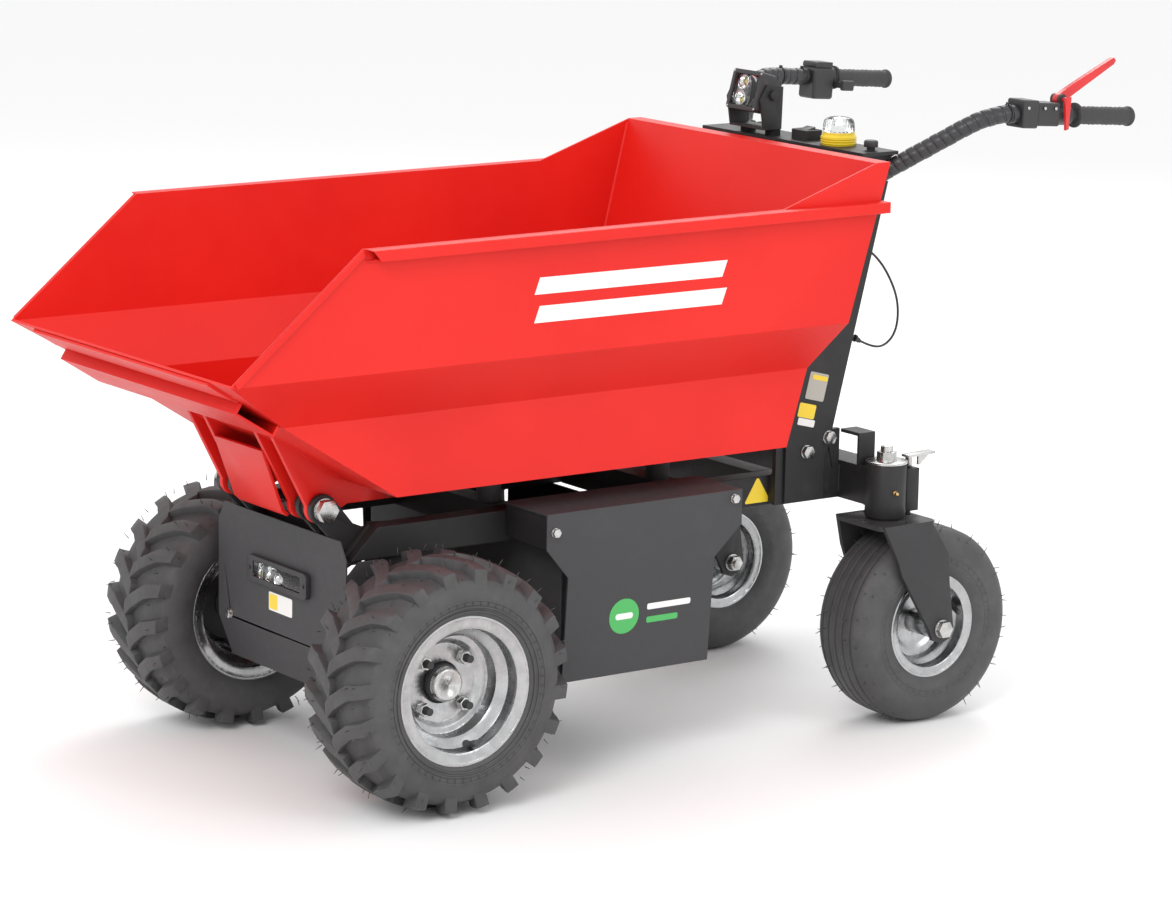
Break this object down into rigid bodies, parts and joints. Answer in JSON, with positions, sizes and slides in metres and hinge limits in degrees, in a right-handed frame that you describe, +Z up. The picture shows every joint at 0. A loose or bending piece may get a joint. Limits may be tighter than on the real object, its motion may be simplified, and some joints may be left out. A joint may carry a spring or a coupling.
{
  "type": "power wheelbarrow",
  "caption": "Battery power wheelbarrow: front-tipping steel skip on a tube chassis with driven front wheels, rear castors, a control column and two handlebars with grips and levers.",
  "frame": {"origin": "centre of the bounding box on the ground", "axes": "+Z up, -Y forward towards the lip the skip tips over, +X to the machine's left"},
  "size_m": [0.79, 1.7747, 1.098],
  "materials": {
    "tub_paint": "gloss powder coat",
    "frame_paint": "satin powder coat",
    "cover_paint": "fine-textured satin powder coat",
    "zinc": "bright zinc plate",
    "galvanised_rim": "galvanised",
    "cast_hub": "painted casting",
    "tyre": "matt rubber",
    "fork_steel": "satin powder coat",
    "bar_steel": "satin black",
    "wrap": "spiral-wrapped loom",
    "grip_rubber": "moulded rubber",
    "pod_plastic": "moulded, fine grain",
    "lever_plastic": "moulded",
    "button_plastic": "moulded",
    "beacon_yellow": "moulded",
    "beacon_clear": "clear ribbed moulding",
    "lamp_body": "black die casting",
    "lamp_lens": "clear",
    "battery_case": "moulded case",
    "controller": "anodised",
    "cable": "sheathed cable"
  },
  "bodies": {
    "chassis": {"chassis_rails": "frame_paint", "cross_members": "frame_paint", "pivot_plates": "frame_paint", "castor_beam": "frame_paint", "column_feet": "frame_paint", "column_shell": "frame_paint", "console_top": "frame_paint", "latch_bracket": "frame_paint", "light_bracket": "frame_paint", "battery_cover_left": "cover_paint", "battery_cover_right": "cover_paint", "front_cover": "cover_paint", "battery_tray": "cover_paint", "pivot_bolts": "zinc", "frame_bolts": "zinc", "transaxle": "cast_hub", "handlebars": "bar_steel", "handlebar_wraps": "wrap", "grips": "grip_rubber", "rest_pads": "grip_rubber", "switch_pod_left": "pod_plastic", "switch_pod_right": "pod_plastic", "beacon_base": "beacon_yellow", "beacon_dome": "beacon_clear", "front_lamp": "lamp_body", "front_lamp_lens": "lamp_lens", "batteries": "battery_case", "motor_controller": "controller", "release_cable": "cable"},
    "tub": {"tub_shell": "tub_paint", "tub_rear_wall": "tub_paint", "tub_rims": "tub_paint", "lip_stiffener": "tub_paint", "tub_legs": "tub_paint"},
    "lever": {"release_lever": "lever_plastic"},
    "throttle": {"throttle_lever": "pod_plastic"},
    "horn": {"horn_button": "button_plastic"},
    "rocker": {"rocker_switch": "pod_plastic"},
    "knob": {"stop_knob": "pod_plastic"},
    "lamp": {"work_light": "lamp_body", "work_light_lens": "lamp_lens"},
    "latch": {"latch_hook": "frame_paint"},
    "front_wheel_left": {"front_tyre_left": "tyre", "front_rim_left": "galvanised_rim", "front_hub_left": "cast_hub", "wheel_nuts_left": "zinc"},
    "castor_left": {"castor_fork_left": "fork_steel", "castor_pins_left": "zinc"},
    "castor_wheel_left": {"castor_tyre_left": "tyre", "castor_rim_left": "galvanised_rim"},
    "lock_left": {"lock_pin_left": "zinc"},
    "front_wheel_right": {"front_tyre_right": "tyre", "front_rim_right": "galvanised_rim", "front_hub_right": "cast_hub", "wheel_nuts_right": "zinc"},
    "castor_right": {"castor_fork_right": "fork_steel", "castor_pins_right": "zinc"},
    "castor_wheel_right": {"castor_tyre_right": "tyre", "castor_rim_right": "galvanised_rim"},
    "lock_right": {"lock_pin_right": "zinc"}
  },
  "joints": [
    {"name": "tub_tilt", "type": "hinge", "parent": "chassis", "child": "tub", "pos_m": [0, -0.603, 0.449], "axis": [1, 0, 0], "range_deg": [0, 75]},
    {"name": "front_wheel_left_spin", "type": "hinge", "parent": "chassis", "child": "front_wheel_left", "pos_m": [0.309, -0.5, 0.2], "axis": [1, 0, 0], "continuous": true},
    {"name": "castor_left_swivel", "type": "hinge", "parent": "chassis", "child": "castor_left", "pos_m": [0.286, 0.405, 0.35], "axis": [0, 0, 1], "continuous": true},
    {"name": "castor_wheel_left_spin", "type": "hinge", "parent": "castor_left", "child": "castor_wheel_left", "pos_m": [0.286, 0.472, 0.167], "axis": [1, 0, 0], "continuous": true},
    {"name": "lock_left_slide", "type": "slide", "parent": "chassis", "child": "lock_left", "axis": [0, 0, 1], "range_m": [-0.012, 0]},
    {"name": "front_wheel_right_spin", "type": "hinge", "parent": "chassis", "child": "front_wheel_right", "pos_m": [-0.309, -0.5, 0.2], "axis": [1, 0, 0], "continuous": true},
    {"name": "castor_right_swivel", "type": "hinge", "parent": "chassis", "child": "castor_right", "pos_m": [-0.286, 0.405, 0.35], "axis": [0, 0, 1], "continuous": true},
    {"name": "castor_wheel_right_spin", "type": "hinge", "parent": "castor_right", "child": "castor_wheel_right", "pos_m": [-0.286, 0.472, 0.167], "axis": [1, 0, 0], "continuous": true},
    {"name": "lock_right_slide", "type": "slide", "parent": "chassis", "child": "lock_right", "axis": [0, 0, 1], "range_m": [-0.012, 0]},
    {"name": "release_lever_hinge", "type": "hinge", "parent": "chassis", "child": "lever", "pos_m": [0.32, 0.724, 1.034], "axis": [1, 0, 0], "range_deg": [-17, 0]},
    {"name": "latch_hook_hinge", "type": "hinge", "parent": "chassis", "child": "latch", "pos_m": [0, 0.30433, 0.594], "axis": [1, 0, 0], "range_deg": [0, 60]},
    {"name": "throttle_hinge", "type": "hinge", "parent": "chassis", "child": "throttle", "pos_m": [-0.32, 0.75, 1.00582], "axis": [0, 0.9976, -0.0698], "range_deg": [0, 30], "stiffness_Nm_per_rad": 0.2, "springref_deg": -11.46},
    {"name": "horn_button_slide", "type": "slide", "parent": "chassis", "child": "horn", "axis": [1, 0, 0], "range_m": [0, 0.0025], "stiffness_N_per_m": 400, "springref_m": -0.001},
    {"name": "rocker_hinge", "type": "hinge", "parent": "chassis", "child": "rocker", "pos_m": [0.02, 0.43, 0.963], "axis": [1, 0, 0], "range_deg": [-16, 0]},
    {"name": "stop_knob_slide", "type": "slide", "parent": "chassis", "child": "knob", "axis": [0, 0, -1], "range_m": [0, 0.005], "stiffness_N_per_m": 500, "springref_m": -0.002},
    {"name": "work_light_hinge", "type": "hinge", "parent": "chassis", "child": "lamp", "pos_m": [-0.084, 0.4, 1.02], "axis": [1, 0, 0], "range_deg": [-20, 20]}
  ],
  "couplings": [
    {"joint": "latch_hook_hinge", "follows": "release_lever_hinge", "ratio": -3.5}
  ]
}
